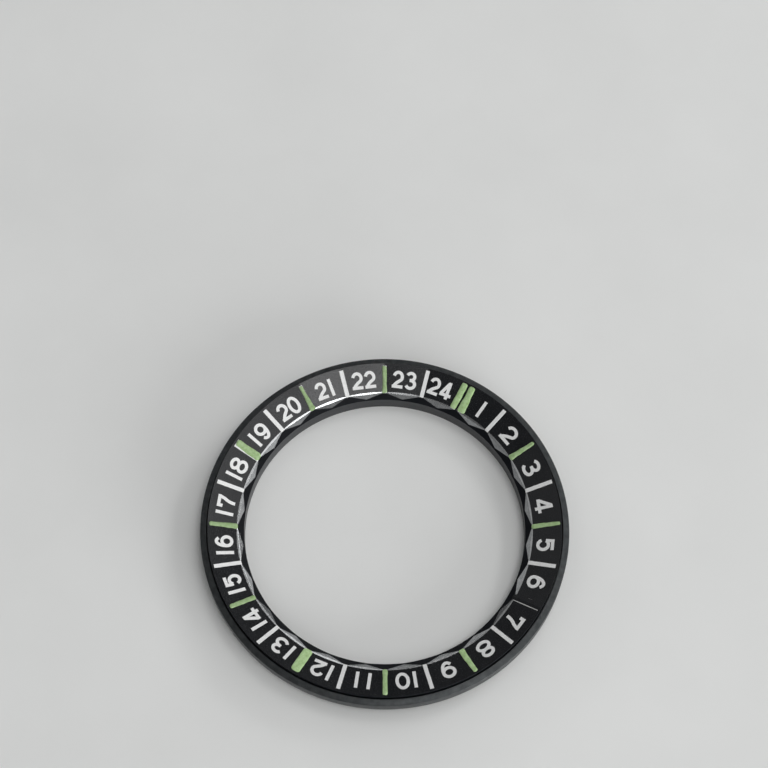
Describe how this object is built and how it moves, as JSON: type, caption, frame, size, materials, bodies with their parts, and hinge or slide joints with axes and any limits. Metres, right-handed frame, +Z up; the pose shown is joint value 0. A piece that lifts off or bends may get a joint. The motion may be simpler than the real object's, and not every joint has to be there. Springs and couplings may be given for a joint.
{
  "type": "inner watch bezel",
  "caption": "Inner rotating watch bezel: faceted black 24-hour scale ring with bright facets at its bore, luminous marks, and a satin rim with face teeth below.",
  "frame": {"origin": "on the ring's axis at its flat underside", "axes": "+Z up along the ring's axis, out of the dial; +Y towards the boundary between 24 and 1"},
  "size_m": [0.0359, 0.0358, 0.003],
  "materials": {
    "ring_steel": "polished facets at the bore",
    "rim_steel": "dark satin",
    "black_lacquer": "glossy, fine mottle",
    "white_ink": "printed, matt",
    "lume_paint": "luminous paint, matt"
  },
  "bodies": {
    "root": {"faceted_ring": "ring_steel", "drive_ring": "rim_steel", "facet_lacquer": "black_lacquer", "bevel_lacquer": "black_lacquer", "numeral_01": "white_ink", "numeral_02": "white_ink", "numeral_03": "white_ink", "numeral_04": "white_ink", "numeral_05": "white_ink", "numeral_06": "white_ink", "numeral_07": "white_ink", "numeral_08": "white_ink", "numeral_09": "white_ink", "numeral_10": "white_ink", "numeral_11": "white_ink", "numeral_12": "white_ink", "numeral_13": "white_ink", "numeral_14": "white_ink", "numeral_15": "white_ink", "numeral_16": "white_ink", "numeral_17": "white_ink", "numeral_18": "white_ink", "numeral_19": "white_ink", "numeral_20": "white_ink", "numeral_21": "white_ink", "numeral_22": "white_ink", "numeral_23": "white_ink", "numeral_24": "white_ink", "line_01": "white_ink", "line_03": "white_ink", "line_05": "white_ink", "line_07": "white_ink", "line_09": "white_ink", "line_11": "white_ink", "line_13": "white_ink", "line_15": "white_ink", "line_17": "white_ink", "line_19": "white_ink", "line_21": "white_ink", "line_23": "white_ink", "underprint": "white_ink", "worn_print": "white_ink", "lume_02": "lume_paint", "lume_04": "lume_paint", "lume_08": "lume_paint", "lume_10": "lume_paint", "lume_14": "lume_paint", "lume_16": "lume_paint", "lume_20": "lume_paint", "lume_22": "lume_paint", "lume_12": "lume_paint", "lume_18": "lume_paint", "lume_24_left": "lume_paint", "lume_24_right": "lume_paint"}
  },
  "joints": []
}
